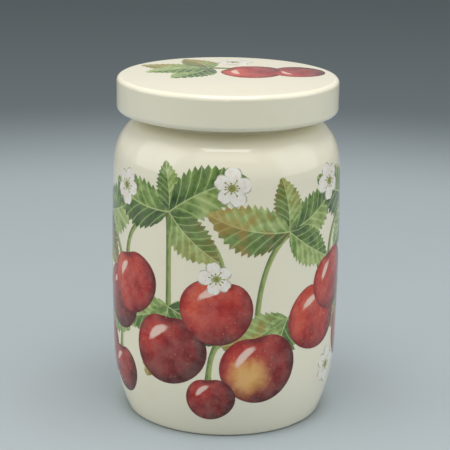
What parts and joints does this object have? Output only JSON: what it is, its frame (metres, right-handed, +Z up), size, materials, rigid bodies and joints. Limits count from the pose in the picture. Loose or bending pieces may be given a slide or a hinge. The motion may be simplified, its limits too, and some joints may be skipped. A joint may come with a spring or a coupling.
{
  "type": "lidded ceramic jam jar",
  "caption": "Round glazed ceramic jam jar with rounded shoulder and heel, closed by a thick flat disc lid that rests on a short recessed neck.",
  "frame": {"origin": "middle of the foot, on the surface that the jar stands on", "axes": "+Z up along the jar's axis; -Y is the front of the jar, as first shown; X is to the sides"},
  "size_m": [0.0852, 0.0852, 0.1275],
  "materials": {
    "glaze": "smooth glossy cream glaze over earthenware",
    "red_print": "deep red brush-painted transfer under clear glaze",
    "green_print": "mid green brush-painted transfer under clear glaze",
    "pale_print": "pale blossom transfer under clear glaze",
    "bare_clay": "matt unglazed earthenware foot ring"
  },
  "bodies": {
    "root": {"jar": "glaze", "lid": "glaze"}
  },
  "joints": []
}
